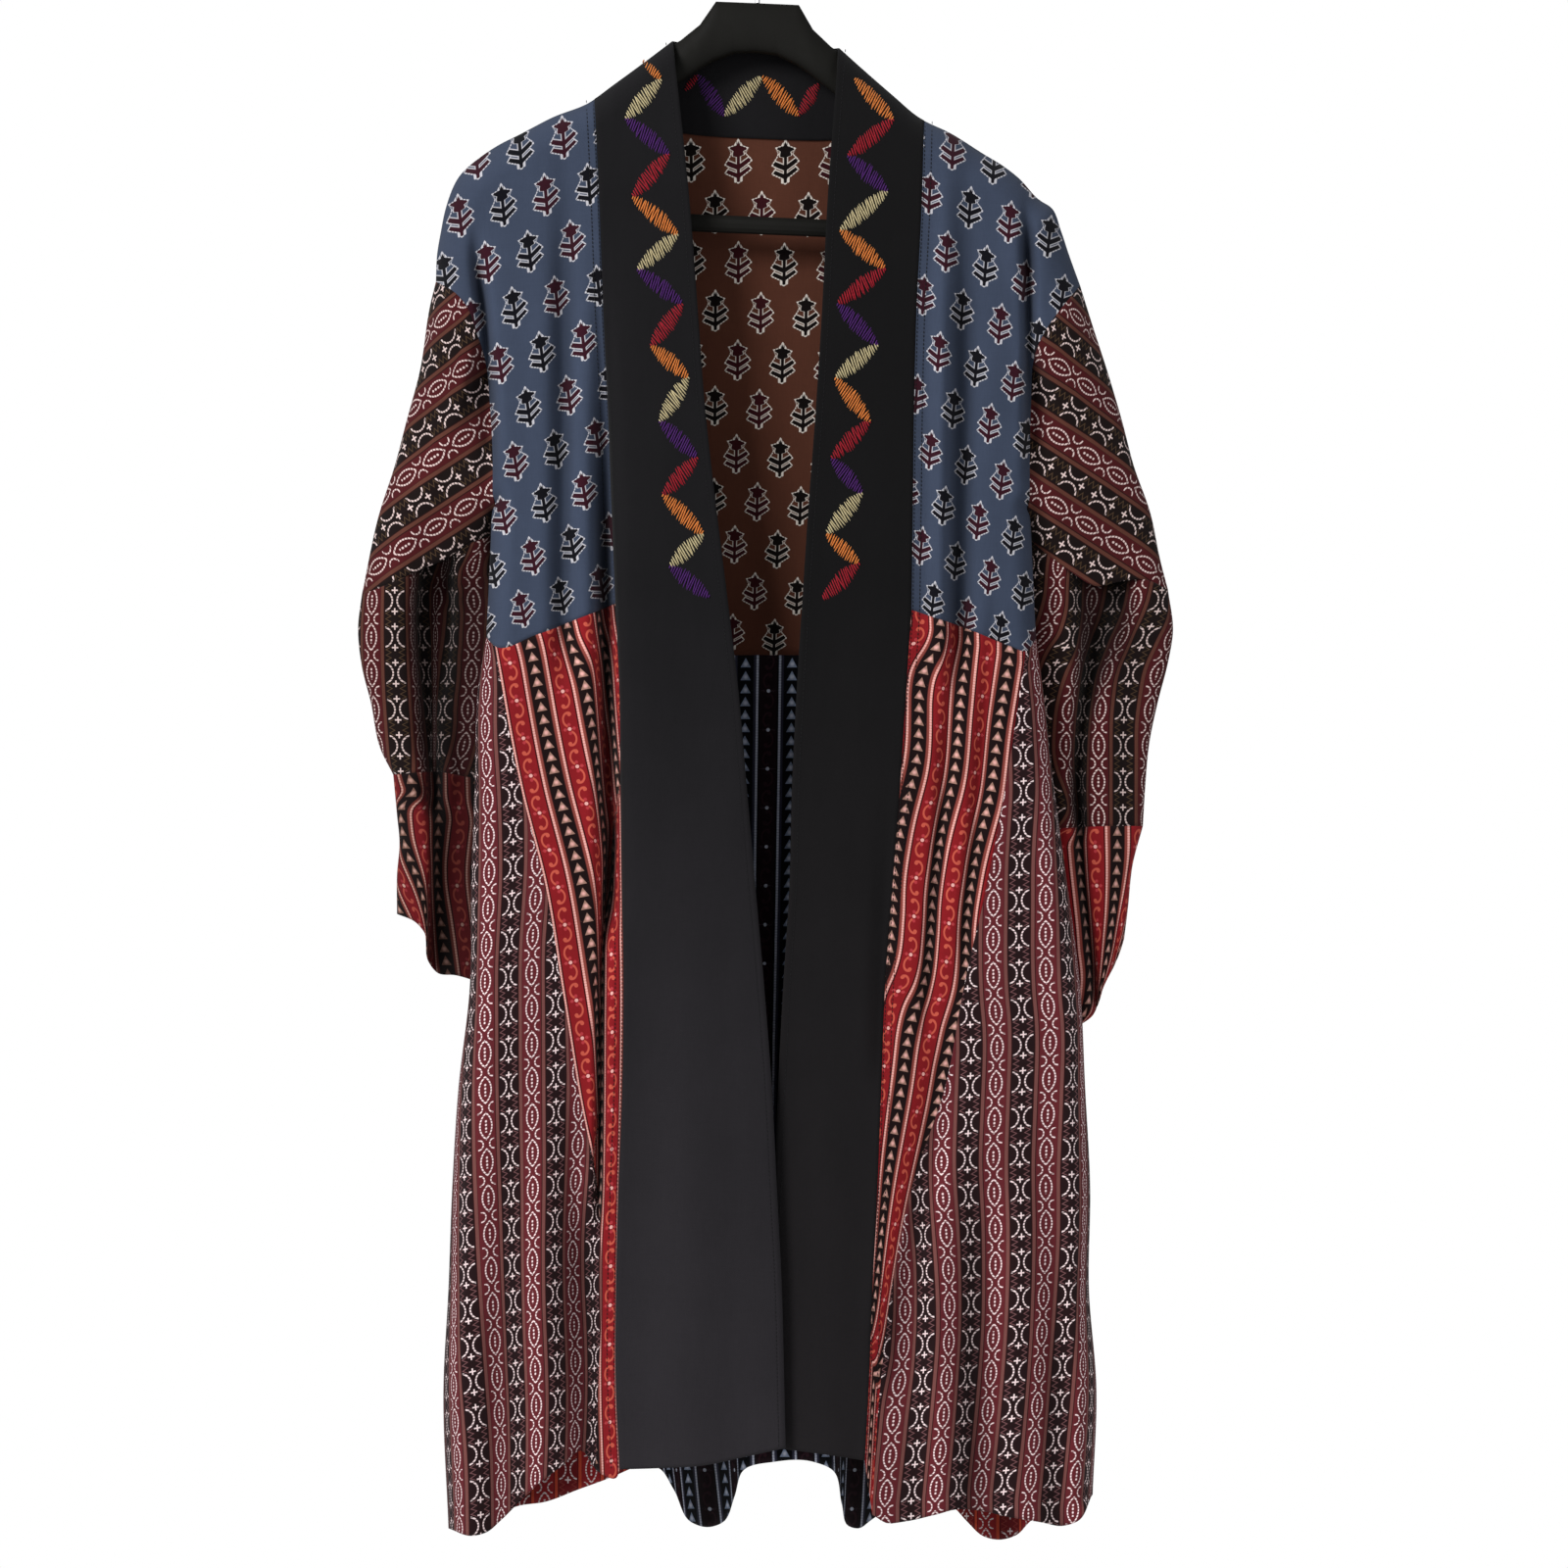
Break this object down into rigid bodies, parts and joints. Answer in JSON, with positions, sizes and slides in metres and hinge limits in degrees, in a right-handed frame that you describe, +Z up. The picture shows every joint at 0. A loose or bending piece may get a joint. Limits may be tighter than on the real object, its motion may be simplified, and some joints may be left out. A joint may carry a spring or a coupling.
{
  "type": "kimono duster on hanger",
  "caption": "Long open kimono duster of patchwork cotton panels, hanging flat on a black suit hanger.",
  "frame": {"origin": "where the hanger's hook bears on the rail", "axes": "+Z up, the garment hangs down along -Z; the front faces -Y; +X is to the right seen from the front"},
  "size_m": [0.6543, 0.116, 1.2932],
  "materials": {
    "blue_print": "printed cotton, slate blue with small sprigs",
    "brown_print": "printed cotton, brown with small sprigs",
    "wine_stripe": "printed cotton, stripes in wine, black and brown",
    "red_stripe": "printed cotton, stripes in red, black and coral",
    "red_line_stripe": "printed cotton, red with coral lines",
    "navy_stripe": "printed cotton, stripes in navy and dark wine",
    "black_cotton": "plain matt cotton, embroidered",
    "hanger_plastic": "moulded, fine matt grain",
    "hook_steel": "plain bright wire"
  },
  "bodies": {
    "root": {"yoke_front_left": "blue_print", "yoke_front_right": "blue_print", "back_yoke": "brown_print", "front_lower_left": "red_stripe", "front_lower_right": "red_stripe", "cuff_left": "red_stripe", "cuff_right": "red_stripe", "side_front_left": "wine_stripe", "side_front_right": "wine_stripe", "sleeve_upper_left": "wine_stripe", "sleeve_upper_right": "wine_stripe", "sleeve_lower_left": "wine_stripe", "sleeve_lower_right": "wine_stripe", "back_side_left": "red_line_stripe", "back_side_right": "red_line_stripe", "back_lower": "navy_stripe", "band_left": "black_cotton", "band_right": "black_cotton", "band_back_neck": "black_cotton", "hanger_body": "hanger_plastic", "hanger_bar": "hanger_plastic", "hanger_hook": "hook_steel"}
  },
  "joints": []
}
